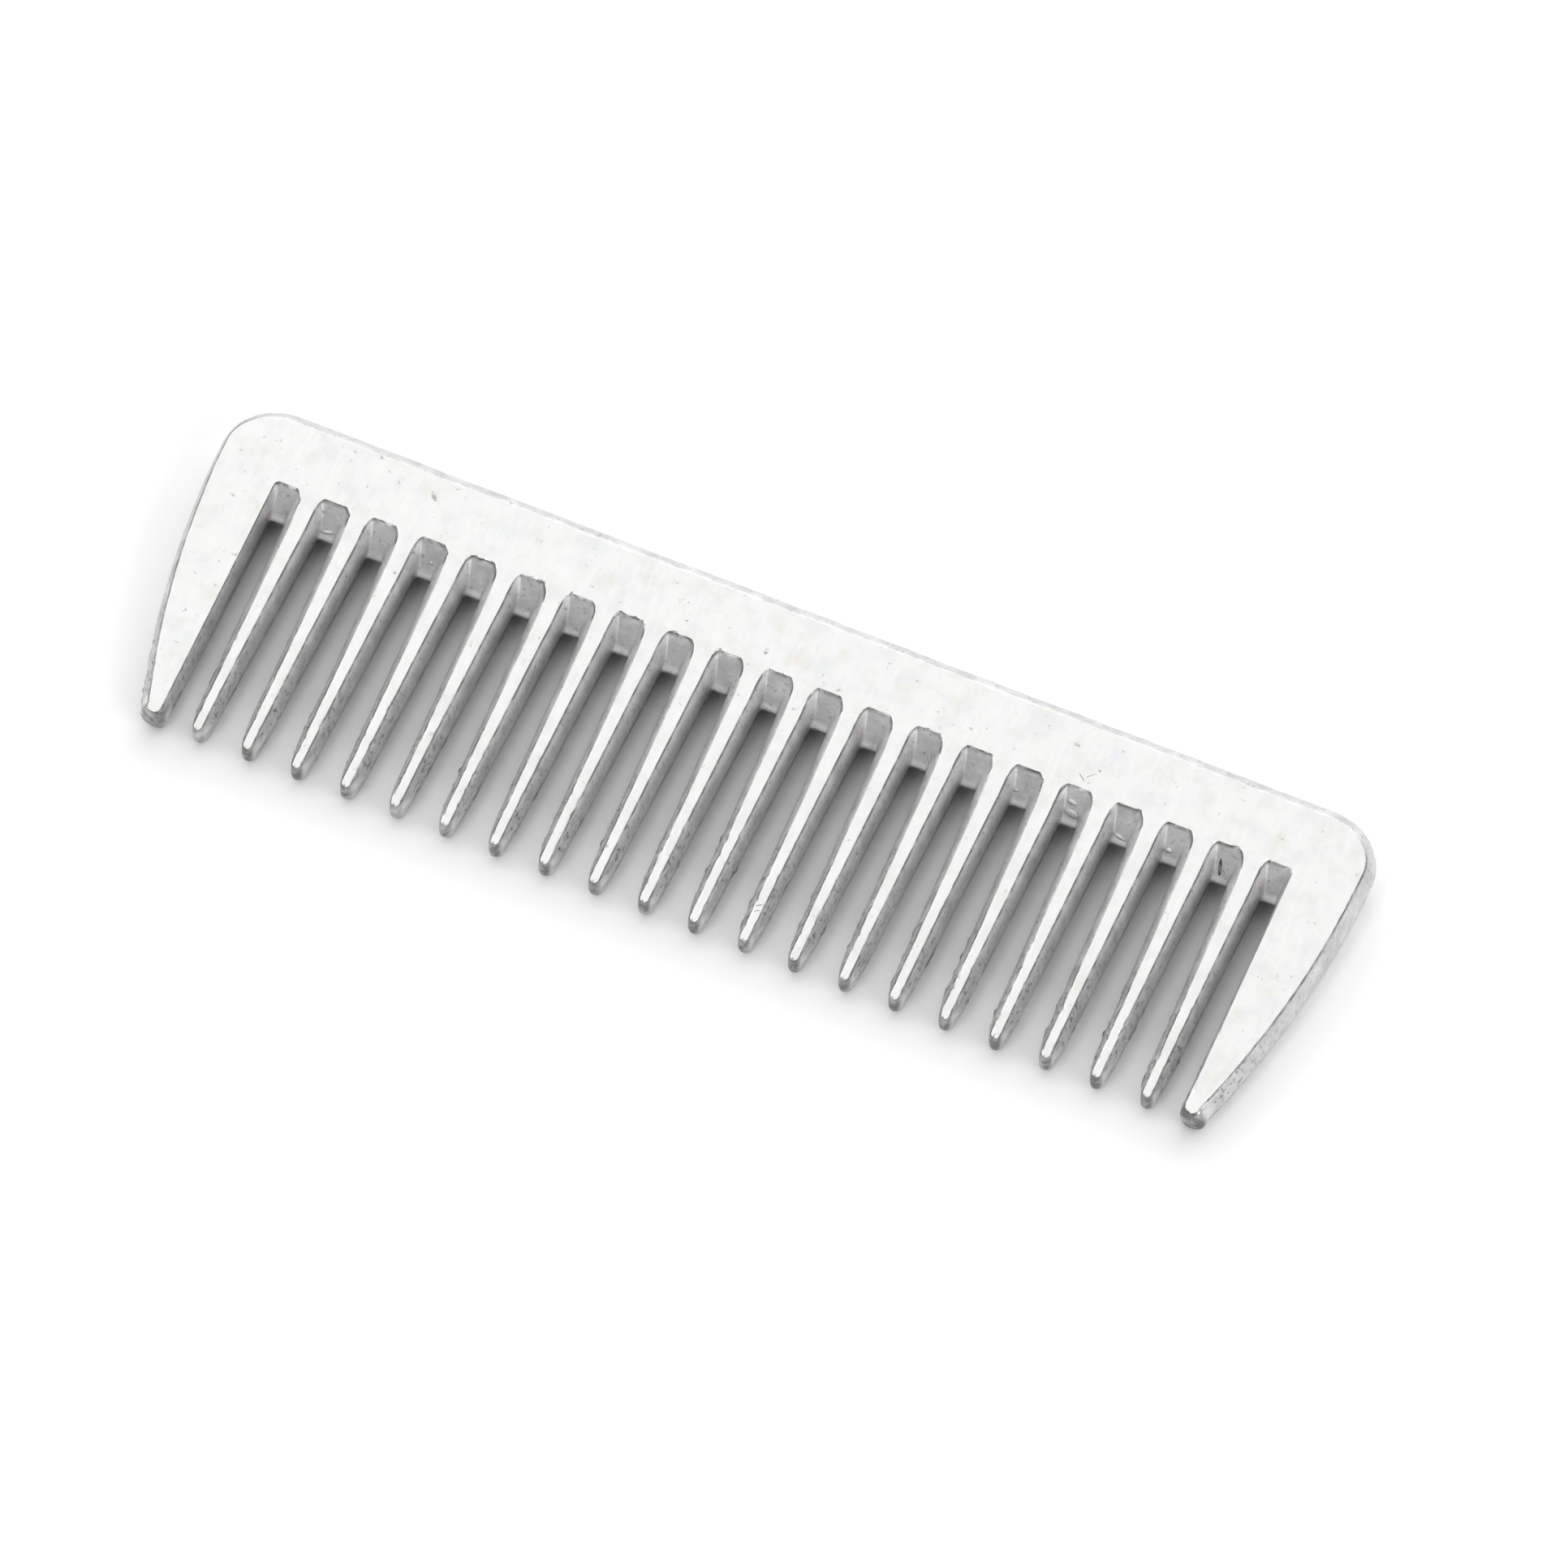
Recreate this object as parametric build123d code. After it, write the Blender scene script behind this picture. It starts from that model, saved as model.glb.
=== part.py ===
"""Pet grooming comb, cast in aluminium: a drafted casting with its two broad faces ground flat.

The comb is drawn about the mould's parting plane, Z = 0 while drawing, which runs through the middle
of the thickness. X runs along the comb, +Y points to the spine's back, and Y = 0 is where each slot
ends on the ground faces. Every cast wall leans in from the parting plane at its own draft. At the
end the comb is turned by half of its wedge, so that it lies on its ground underside at Z = 0.

The real comb is one casting. Its nodes are regions of it that meet face to face: the spine, the two
end guards and the teeth. Each tooth starts at the line of the slot ends, so it takes its own share of
the sloping front of the spine with it, and every slot stays open down to that slope.
"""
from build123d import *
from math import atan, degrees, sqrt
import os

# Overall sizes, mm
spine_depth = 6.9            # from the slot ends to the back, at the parting plane
tooth_length = 23.0          # from the slot ends to the tips, at the parting plane
back_thickness = 5.0         # between the ground faces, at the back
tip_thickness = 3.1          # between the ground faces, at the tips

# Teeth
tooth_count = 20
tooth_pitch = 4.4
root_ridge_width = 3.0       # across a tooth at the parting plane, at the line of the slot ends
root_face_width = 1.3        # across its ground face, there
shoulder_ridge_width = 2.0   # the same where it starts to narrow to its tip
shoulder_face_width = 0.85
tip_ridge_width = 1.45       # the same where the nose starts
tip_face_width = 0.6
tip_taper_length = 4.5       # from the shoulder to the tip
nose_length = 1.0            # the rounded end of a tooth
nose_width_share = 0.5       # what the nose's end keeps of the tooth's width
nose_height_share = 0.5      # and of its thickness

# Slots
slot_end_ramp = 2.3          # how far the spine's front leans out at the parting plane

# End guards
guard_gap = 1.1              # from the middle of an end slot to the guard's ground face
guard_width = 5.9            # at its widest, from that face to the parting line outside
guard_tip_width = 2.3        # at the tip, at the parting plane
guard_tip_rounding = 0.9     # length of the rounded tip
corner_radius = 5.5          # corner of the spine, along X
side_arc_start = 2.5         # Y where the corner meets the long arc down the guard

# Draft of the cast walls: run per mm of height above the parting plane
back_draft = 0.52
side_draft = 0.28
guard_draft = 0.17

# Construction
overrun = 0.3                # how far a wall runs past the ground face that trims it
root_lip = 0.2               # from the ridge of the slot ends to where the guards leave the spine

# Values that follow
tip_y = -tooth_length
ridge_y = -slot_end_ramp
root_y = ridge_y - root_lip
wedge_slope = (back_thickness - tip_thickness) / 2 / (spine_depth + tooth_length)
wedge_angle = degrees(atan(wedge_slope))
blank_height = back_thickness / 2 + overrun
guard_face_x = tooth_count * tooth_pitch / 2 + guard_gap
half_length = guard_face_x + guard_width


def half_thickness(y):
    """Height of the ground face above the parting plane."""
    return tip_thickness / 2 + wedge_slope * (y - tip_y)


def guard_inner_x(z):
    """X of the guard's wall beside the end slot."""
    return guard_face_x - (half_thickness(root_y) - z) * guard_draft


side_fall = side_arc_start - (tip_y + guard_tip_rounding)
side_drop = half_length - guard_inner_x(0) - guard_tip_width
side_radius = (side_fall**2 + side_drop**2) / (2 * side_drop)


def side_x(y, z):
    """X of the long arc down the outside of a guard."""
    return half_length - z * side_draft - side_radius + sqrt(side_radius**2 - (side_arc_start - y) ** 2)


def blank_outline(z):
    """Plan of the spine and the two guards at height z: a wide, low U."""
    back = spine_depth - z * back_draft
    front = ridge_y + z * slot_end_ramp / half_thickness(0)
    inner = guard_inner_x(z)
    tip = tip_y + z * guard_draft
    shoulder = tip + guard_tip_rounding
    outer = side_x(shoulder, z)
    widest = side_x(side_arc_start, z)
    middle = (side_arc_start + shoulder) / 2
    with BuildSketch(Plane.XY.offset(z)) as plan:
        with BuildLine():
            Line((0, front), (inner, front))
            Line((inner, front), (inner, shoulder))
            ThreePointArc((inner, shoulder), ((inner + outer) / 2, tip), (outer, shoulder))
            ThreePointArc((outer, shoulder), (side_x(middle, z), middle), (widest, side_arc_start))
            EllipticalCenterArc(
                (widest - corner_radius, side_arc_start),
                corner_radius,
                back - side_arc_start,
                start_angle=0,
                arc_size=90,
            )
            Line((widest - corner_radius, back), (0, back))
            mirror(about=Plane.YZ)
        make_face()
    return plan.sketch


def trim_to_ground_faces(shape):
    """Cut a drafted shape off at the two ground faces."""
    for side in (1, -1):
        face = Plane(origin=(0, tip_y, side * tip_thickness / 2), z_dir=(0, -wedge_slope, side))
        shape = split(shape, bisect_by=face, keep=Keep.BOTTOM)
    return shape


def make_blank():
    """Spine and guards in one, both halves of the mould."""
    upper = loft([blank_outline(0).face(), blank_outline(blank_height).face()], ruled=True)
    return trim_to_ground_faces(upper + mirror(upper, about=Plane.XY))


def tooth_section(y, ridge_width, face_width, height, reach):
    """Six-sided section across a tooth; its walls carry on past the face by reach."""
    top = height + reach
    half_top = (ridge_width - (ridge_width - face_width) * top / height) / 2
    points = [(ridge_width / 2, 0), (half_top, top), (-half_top, top),
              (-ridge_width / 2, 0), (-half_top, -top), (half_top, -top)]
    with BuildSketch(Plane.XZ.offset(-y)) as section:
        Polygon(*points, align=None)
    return section.sketch.face()


def make_tooth():
    """One tooth about X = 0, from the line of the slot ends to its rounded nose."""
    shoulder_y = tip_y + tip_taper_length
    nose_y = tip_y + nose_length
    stations = [
        (0, root_ridge_width, root_face_width),
        (shoulder_y, shoulder_ridge_width, shoulder_face_width),
        (nose_y, tip_ridge_width, tip_face_width),
    ]
    sections = [tooth_section(y, ridge, face, half_thickness(y), overrun) for y, ridge, face in stations]
    end_ridge = tip_ridge_width * nose_width_share
    end_face = tip_face_width * nose_width_share
    end_height = half_thickness(tip_y) * nose_height_share
    sections.append(tooth_section(tip_y, end_ridge, end_face, end_height, 0))
    return trim_to_ground_faces(loft(sections, ruled=True))


def lay_down(shape):
    """Turn the comb onto its ground underside, its box centred on the origin."""
    turned = shape.rotate(Axis.X, wedge_angle)
    return turned.moved(Location((0, -(spine_depth + tip_y) / 2, -floor_z)))


root_plane = Plane(origin=(0, root_y, 0), z_dir=(0, 1, 0))
blank = make_blank()
guards = split(blank, bisect_by=root_plane, keep=Keep.BOTTOM).solids().sort_by(Axis.X)
tooth = make_tooth()
places = [(index - (tooth_count - 1) / 2) * tooth_pitch for index in range(tooth_count)]
teeth = [tooth.moved(Location((x, 0, 0))) for x in places]
spine = split(blank, bisect_by=root_plane, keep=Keep.TOP).cut(*teeth)

nodes = {"spine": spine, "end_guard_left": guards[0], "end_guard_right": guards[1]}
for number, shape in enumerate(teeth, start=1):
    nodes[f"tooth_{number:02d}"] = shape

floor_z = spine.rotate(Axis.X, wedge_angle).bounding_box().min.Z
os.makedirs("parts", exist_ok=True)
for name, shape in nodes.items():
    export_step(lay_down(shape), f"parts/{name}.step")
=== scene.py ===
import math
import bmesh
import bpy
from mathutils import Matrix, Vector


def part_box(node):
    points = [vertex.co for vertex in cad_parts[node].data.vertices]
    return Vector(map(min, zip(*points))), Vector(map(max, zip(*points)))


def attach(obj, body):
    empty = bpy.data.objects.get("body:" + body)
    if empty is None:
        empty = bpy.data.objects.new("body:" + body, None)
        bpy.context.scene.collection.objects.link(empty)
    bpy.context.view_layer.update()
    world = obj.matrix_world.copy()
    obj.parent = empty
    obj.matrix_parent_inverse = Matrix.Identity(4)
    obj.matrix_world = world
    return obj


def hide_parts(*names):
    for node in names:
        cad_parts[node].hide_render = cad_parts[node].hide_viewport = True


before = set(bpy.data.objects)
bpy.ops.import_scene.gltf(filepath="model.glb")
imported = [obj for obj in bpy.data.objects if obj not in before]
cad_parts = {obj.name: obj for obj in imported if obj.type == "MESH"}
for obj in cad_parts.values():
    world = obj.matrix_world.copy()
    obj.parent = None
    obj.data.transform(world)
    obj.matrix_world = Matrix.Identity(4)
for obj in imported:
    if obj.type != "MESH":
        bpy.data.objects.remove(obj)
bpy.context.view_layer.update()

# Grooming comb, one aluminium casting whose two broad faces are ground flat.
# Lengths in this file are millimetres; they become metres where a mesh is made.
mm = 0.001


def boxInMm(node):
    low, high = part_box(node)
    return low / mm, high / mm


# Sizes of the casting
toothNames = sorted(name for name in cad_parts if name.startswith("tooth_"))
firstLow, firstHigh = boxInMm(toothNames[0])
secondLow, secondHigh = boxInMm(toothNames[1])
spineLow, spineHigh = boxInMm("spine")

comb = {
    "toothCount": len(toothNames),
    "pitch": secondLow.x - firstLow.x,
    "firstTooth": (firstLow.x + firstHigh.x) / 2,
    "halfLength": spineHigh.x,
    "backY": spineHigh.y,
    "tipY": firstLow.y,
    "rootThickness": firstHigh.z,
    "spineDepth": 6.9,        # from the slot ends to the back
    "backRound": 1.35,        # how far the rounded back stands out past the ground face
    "ramp": 2.4,              # how far a slot end slopes out to the parting line
    "rootRidge": 1.48,        # half a tooth across the parting line, at its root
    "ridgeTaper": 0.028,      # what that half width loses per mm
    "noseStart": 19.5,        # where the tooth rounds in to its tip
    "nosePower": 2.4,
    "noseLength": 1.0,        # the stretch of its outline that gets the finer nose steps
    "stripNose": 0.4,         # the rounded end of its ground strip
    "noseRound": 0.3,         # how far a nose rounds over into the ground face: 0 is a crisp edge
    "rootFace": 0.20,         # extra half width of the ground strip at its root
    "flareStart": 1.0,        # it keeps that width this far down
    "flareFade": 1.5,         # then loses it over about this length
    "midFace": 0.57,          # half width of the ground strip along the tooth
    "faceTaper": 0.42,        # share that the strip loses by its tip
    "faceTaperStart": 4.0,
    "leftStrip": -0.03,       # how much further the strip reaches on its left
    "rightStrip": 0.12,       # and on its right
    "faceTipGap": 0.06,       # from the end of the ground strip to the tip
    "underTipGap": 0.80,      # the same on the underside, which is rounded off more
    "wallPower": 2.6,         # how square the cast walls stand: 1 is a flat slope
    "rampPower": 1.15,        # the same for the slot ends, the back and the outside of the guards
    "backPower": 2.5,
    "sidePower": 2.2,
    "partCorner": 0.30,       # corners at the foot of a slot end, on the parting line
    "lipReach": 0.05,         # how far the lip of flash stands out from the foot of a slot end
    "lipHeight": 0.09,        # and how far up
    "guardGap": 1.1,          # middle of the end slot to the guard's ground face
    "guardDraft": 0.38,
    "sideInset": 0.65,        # ground face to parting line on the outside of a guard
    "guardTip": 2.3,          # width of a guard's tip
    "guardCorner": 0.4,       # corner of the end slot on the guard's side, across
    "guardCornerLength": 0.5,  # and down
    "guardNose": 0.8,         # rounded end of a guard, on the parting line
    "guardFaceNose": 0.7,     # and on the ground face
    "guardNosePower": 2.8,    # how square that end is: 2 is round
    "guardSetBack": 0.35,     # how much further back it ends on the underside
    "sideEnd": 0.9,           # from the end of the long side arc to a guard's tip
    "cornerX": 5.0,           # corners of the spine along the comb, on the parting line
    "cornerStart": 2.5,       # and where they start, above the slot ends
    "faceCornerX": 4.5,       # the same on the ground face
    "faceCornerStart": 2.0,
}
toothLength = comb["backY"] - comb["spineDepth"] - comb["tipY"]
slotEndY = comb["tipY"] + toothLength
faceBackY = comb["backY"] - comb["backRound"]
wedge = (spineHigh.z - comb["rootThickness"]) / (faceBackY - slotEndY)
guardFaceX = comb["pitch"] * comb["toothCount"] / 2 + comb["guardGap"]
guardPartX = guardFaceX - comb["guardDraft"]
lastSlotX = comb["pitch"] * comb["toothCount"] / 2

# How many steps each stretch of the outline gets
steps = {
    "flat": 4, "corner": 7, "wall": 62, "nose": 7,
    "guardTip": 16, "side": 64, "spineCorner": 16, "back": 5,
}

# Height levels from the parting line to the ground face: share of the half height
wallLevels = [0.0, 0.05, 0.13, 0.28, 0.48, 0.68, 0.82, 0.90, 0.96]
# Then the rounded edge: mm past the edge, mm below the ground face
edgeLevels = [(0.015, 0.035), (0.09, 0.0), (0.20, 0.0)]

# Corners of a slot end on the ground face, either side of a tooth: flat length from the middle of
# the slot, length down the tooth, and how round they are
slotCorners = {"left": (0.85, 1.25, 1.25), "right": (1.0, 1.1, 1.1)}

# Share of a painted dark line that the edges of each kind of wall get: a painted reflection of the dark
# studio in the rounded edges
paintedEdgeLines = {
    "slotEnd": 1.0, "facingRight": 1.0, "facingLeft": 0.1,
    "leftSide": 0.7, "nose": 0.9, "back": 0.15,
}
leftDarkens = (6, 16)   # mm down a tooth, where the painted dark line on its left edge goes from faint to full


def thickness(y):
    return comb["rootThickness"] + wedge * (y - slotEndY)


def ridgeHalf(depth):  # half width of a tooth at the parting line, depth mm below the slot ends
    taper = comb["rootRidge"] - comb["ridgeTaper"] * depth
    along = max(0.0, (depth - comb["noseStart"]) / (toothLength - comb["noseStart"]))
    return taper * max(0.0, 1 - along ** comb["nosePower"]) ** (1 / comb["nosePower"])


def faceHalf(depth):  # half width of a tooth's ground strip
    flare = comb["rootFace"] * math.exp(-max(0.0, depth - comb["flareStart"]) / comb["flareFade"])
    along = max(0.0, (depth - comb["faceTaperStart"]) / (toothLength - comb["faceTaperStart"]))
    return (comb["midFace"] + flare) * (1 - comb["faceTaper"] * along)


sideFall = comb["cornerStart"] + toothLength - comb["sideEnd"]
sideDrop = comb["halfLength"] - guardPartX - comb["guardTip"]
sideRadius = (sideFall ** 2 + sideDrop ** 2) / (2 * sideDrop)


def sideX(y, inset):  # outside of a guard, y mm above the slot ends
    fall = comb["cornerStart"] - y
    return comb["halfLength"] - inset - sideRadius + math.sqrt(sideRadius ** 2 - fall ** 2)


# A station is one place round the outline: a point on the parting line, one on the edge of the
# ground face, how square the wall between them is, how dark a painted line (painted reflection)
# makes its edge, how far the underside's edge is set back, how much of a lip of flash the parting
# line has, and how far the wall rounds over into the ground face. x runs along the comb, y up from the slot
# ends.
def station(part, face, power, grimeAndPaintedShade, setBack=0.0, lip=0.0, rounded=0.0):
    return {
        "part": Vector((part[0], slotEndY + part[1])),
        "face": Vector((face[0], slotEndY + face[1])),
        "power": power, "grimeAndPaintedShade": grimeAndPaintedShade, "setBack": setBack, "lip": lip, "rounded": rounded,
    }


def blend(a, b, share):
    return a + (b - a) * share


def smooth(low, high, value):
    share = max(0.0, min(1.0, (value - low) / (high - low)))
    return share * share * (3 - 2 * share)


def cornerTurn(i):  # how far round a corner step i is: across it, and along it
    turn = math.pi / 2 * i / steps["corner"]
    return math.sin(turn), 1 - math.cos(turn)


def lipAlongWall(share):  # the lip of flash dies out just below the corner
    return 1 - smooth(0, 0.03, share)


def halfTooth(side, flatWidth, cornerLength, cornerPower):  # from the middle of the slot to the tip
    middle = comb["pitch"] / 2
    ramp, corner = comb["ramp"], comb["partCorner"]
    rampPower, wallPower = comb["rampPower"], comb["wallPower"]
    partWall = ramp + corner
    partFlat = middle - ridgeHalf(partWall) - corner
    places = []
    for i in range(steps["flat"] + 1):
        share = i / steps["flat"]
        part = (middle - partFlat * share, -ramp)
        face = (middle - flatWidth * share, 0)
        places.append((part, face, rampPower, paintedEdgeLines["slotEnd"], 0, 1))
    for i in range(1, steps["corner"] + 1):
        across, along = cornerTurn(i)
        part = (middle - partFlat - corner * across, -ramp - corner * along)
        face = (blend(middle - flatWidth, faceHalf(cornerLength), across ** cornerPower),
                -cornerLength * along ** (1 / cornerPower))
        power = blend(rampPower, wallPower, smooth(0, 1, i / steps["corner"]))
        places.append((part, face, power, paintedEdgeLines["slotEnd"], 0, 1))
    extra = comb["rightStrip"] if side > 0 else comb["leftStrip"]
    partEnd = toothLength - comb["noseLength"]
    faceEnd = toothLength - comb["faceTipGap"] - comb["stripNose"]
    setBack = comb["underTipGap"] - comb["faceTipGap"]
    for i in range(1, steps["wall"] + 1):
        share = i / steps["wall"]
        partDown = blend(partWall, partEnd, share)
        faceDown = blend(cornerLength, faceEnd, share)
        part = (ridgeHalf(partDown), -partDown)
        face = (faceHalf(faceDown) + extra * smooth(0, 0.1, share), -faceDown)
        grimeAndPaintedShade = paintedEdgeLines["facingRight"]
        if side < 0:  # the painted dark line is faint on the edges that face left near the spine
            grimeAndPaintedShade = blend(paintedEdgeLines["facingLeft"], grimeAndPaintedShade, smooth(*leftDarkens, faceDown))
        places.append((part, face, wallPower, grimeAndPaintedShade, setBack * smooth(0.8, 1, share),
                       lipAlongWall(share), comb["noseRound"] * smooth(0.95, 1, share)))
    for i in range(1, steps["nose"] + 1):
        turn = math.pi / 2 * i / steps["nose"]
        partDown = blend(partEnd, toothLength, math.sin(turn))
        faceDown = faceEnd + comb["stripNose"] * math.sin(turn)
        part = (ridgeHalf(partDown), -partDown)
        face = ((faceHalf(faceEnd) + extra) * math.cos(turn), -faceDown)
        places.append((part, face, wallPower, paintedEdgeLines["nose"], setBack, 0, comb["noseRound"]))
    return [station((side * p[0], p[1]), (side * f[0], f[1]), *rest) for p, f, *rest in places]


def toothStations():  # from the slot on the left, round the tooth, to the slot on the right
    left = halfTooth(-1, *slotCorners["left"])
    right = halfTooth(1, *slotCorners["right"])
    return left + right[-2::-1]


def guardStations(side):  # from the middle of the last slot, round the guard and the corner, to the back
    # The guard's edges get painted dark lines too, standing in for the dark studio reflected in them
    if side > 0:
        innerEdgeLine, outerEdgeLine = paintedEdgeLines["facingLeft"], paintedEdgeLines["facingRight"]
    else:
        innerEdgeLine, outerEdgeLine = paintedEdgeLines["facingRight"], paintedEdgeLines["leftSide"]
    ramp, corner, inset = comb["ramp"], comb["partCorner"], comb["sideInset"]
    rampPower, wallPower = comb["rampPower"], comb["wallPower"]
    partWall = ramp + corner
    faceFlat = comb["guardGap"] - comb["guardCorner"]
    partFlat = guardPartX - lastSlotX - corner
    places = []
    for i in range(steps["flat"] + 1):
        share = i / steps["flat"]
        part = (lastSlotX + partFlat * share, -ramp)
        face = (lastSlotX + faceFlat * share, 0)
        places.append((part, face, rampPower, paintedEdgeLines["slotEnd"], 0, 1))
    for i in range(1, steps["corner"] + 1):
        share = i / steps["corner"]
        across, along = cornerTurn(i)
        part = (lastSlotX + partFlat + corner * across, -ramp - corner * along)
        face = (lastSlotX + faceFlat + comb["guardCorner"] * across, -comb["guardCornerLength"] * along)
        power = blend(rampPower, wallPower, smooth(0, 1, share))
        places.append((part, face, power, blend(paintedEdgeLines["slotEnd"], innerEdgeLine, share), 0, 1))
    tipStart = toothLength - comb["guardNose"]
    for i in range(1, steps["wall"] + 1):
        share = i / steps["wall"]
        part = (guardPartX, -blend(partWall, tipStart, share))
        face = (guardFaceX, -blend(comb["guardCornerLength"], tipStart, share))
        places.append((part, face, wallPower, innerEdgeLine, 0, lipAlongWall(share)))
    outerPart, outerFace = sideX(-tipStart, 0), sideX(-tipStart, inset)
    square = 2 / comb["guardNosePower"]
    for i in range(1, steps["guardTip"] + 1):
        turn = math.pi * i / steps["guardTip"]
        across = (1 + math.copysign(abs(math.cos(turn)) ** square, -math.cos(turn))) / 2
        down = math.sin(turn) ** square if i < steps["guardTip"] else 0
        part = (blend(guardPartX, outerPart, across), -tipStart - comb["guardNose"] * down)
        face = (blend(guardFaceX, outerFace, across), -tipStart - comb["guardFaceNose"] * down)
        places.append((part, face, comb["sidePower"], paintedEdgeLines["nose"],
                       comb["guardSetBack"] * down, 0, comb["noseRound"] * down))
    for i in range(1, steps["side"] + 1):
        share = i / steps["side"]
        partY = blend(-tipStart, comb["cornerStart"], share)
        faceY = blend(-tipStart, comb["faceCornerStart"], share)
        part = (sideX(partY, 0), partY)
        face = (sideX(faceY, inset), faceY)
        places.append((part, face, comb["sidePower"], outerEdgeLine))
    partBack = comb["spineDepth"]
    faceBack = partBack - comb["backRound"]
    partX = comb["halfLength"] - comb["cornerX"]
    faceX = comb["halfLength"] - inset - comb["faceCornerX"]
    for i in range(1, steps["spineCorner"] + 1):
        share = i / steps["spineCorner"]
        turn = math.pi / 2 * share
        part = (partX + comb["cornerX"] * math.cos(turn),
                blend(comb["cornerStart"], partBack, math.sin(turn)))
        face = (faceX + comb["faceCornerX"] * math.cos(turn),
                blend(comb["faceCornerStart"], faceBack, math.sin(turn)))
        grimeAndPaintedShade = blend(outerEdgeLine, paintedEdgeLines["back"], smooth(0.2, 0.7, share))
        places.append((part, face, blend(comb["sidePower"], comb["backPower"], share), grimeAndPaintedShade))
    for i in range(1, steps["back"] + 1):
        share = i / steps["back"]
        part = (blend(partX, lastSlotX, share), partBack)
        face = (blend(faceX, lastSlotX, share), faceBack)
        places.append((part, face, comb["backPower"], paintedEdgeLines["back"]))
    return [station(*place) for place in places]


def wallPoint(place, level, side):  # a point on the wall at one height level, and the way out
    part, face = place["part"], place["face"]
    if side < 0:
        face = face + Vector((0, place["setBack"]))
    inward = face - part
    depth = inward.length
    inward = inward / depth
    if level < len(wallLevels):
        lip = place["lip"] if level < 2 else 0
        share = wallLevels[level]
        lean = blend(share ** place["power"], 1 - math.sqrt(1 - share * share), place["rounded"])
        spot = part + inward * (depth * lean - lip * comb["lipReach"])
        half = thickness(spot.y) / 2
        raised = lip * comb["lipHeight"] if level == 1 and side > 0 else 0
        return Vector((spot.x, spot.y, half + side * half * share + raised)), -inward
    past, drop = edgeLevels[level - len(wallLevels)]
    spot = part + inward * (depth + past)
    half = thickness(spot.y) / 2
    return Vector((spot.x, spot.y, half + side * (half - drop))), -inward


levelCount = len(wallLevels) + len(edgeLevels)
# From the ring just inside the underside's edge, over the parting line, to the ring on the top face
ringOrder = [(level, -1) for level in range(levelCount - 1, 0, -1)]
ringOrder += [(level, 1) for level in range(levelCount)]

# Share of the fins, nicks and painted dark lines that each height level gets
edge = len(wallLevels)
finShare = {0: 1.0, 1: 0.3}
nickShare = {edge - 1: 0.5, edge: 1.0, edge + 1: 0.8}
paintedLineShare = {0: 0.35, 1: 0.15, edge - 1: 0.7, edge: 1.0}

# How wear, grime and painted shade change down the comb: stretches in mm below the slot ends, and shares
wear = {
    "worn": (9, 20),            # wear grows over this stretch
    "freshFin": 0.35,           # fin where nothing is worn
    "tipFin": (21.8, 22.6),     # fins are rubbed off here
    "tipFinLoss": 0.8,
    "freshNick": 0.3,
    "wornNick": 1.4,
    "slotEndNick": 1.8,         # the edges at the slot ends are nicked the most
    "slotEndFrom": (-0.3, 0.0),
    "slotEndTo": (1.2, 2.0),
    "nickDrop": 0.7,            # a nick's depth down, against its depth inwards
    "nickShine": 0.4,
    "tipShine": 0.8,
    "shineStart": 2.2,          # mm before the tip
    "shineFull": 0.5,
    "nose": (22.2, 22.8),       # a painted dark cap, standing in for the noses' dark reflection, covers them from here
    "paintedNoseShade": 0.9,
    "shelterFrom": 0.5,         # painted shade on the lower walls between the teeth, which darkens the slot floors, from here down
    "shelter": (6, 16),         # and less of it past this stretch
    "rootShade": 0.6,
    "tipShade": 0.3,
}


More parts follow.
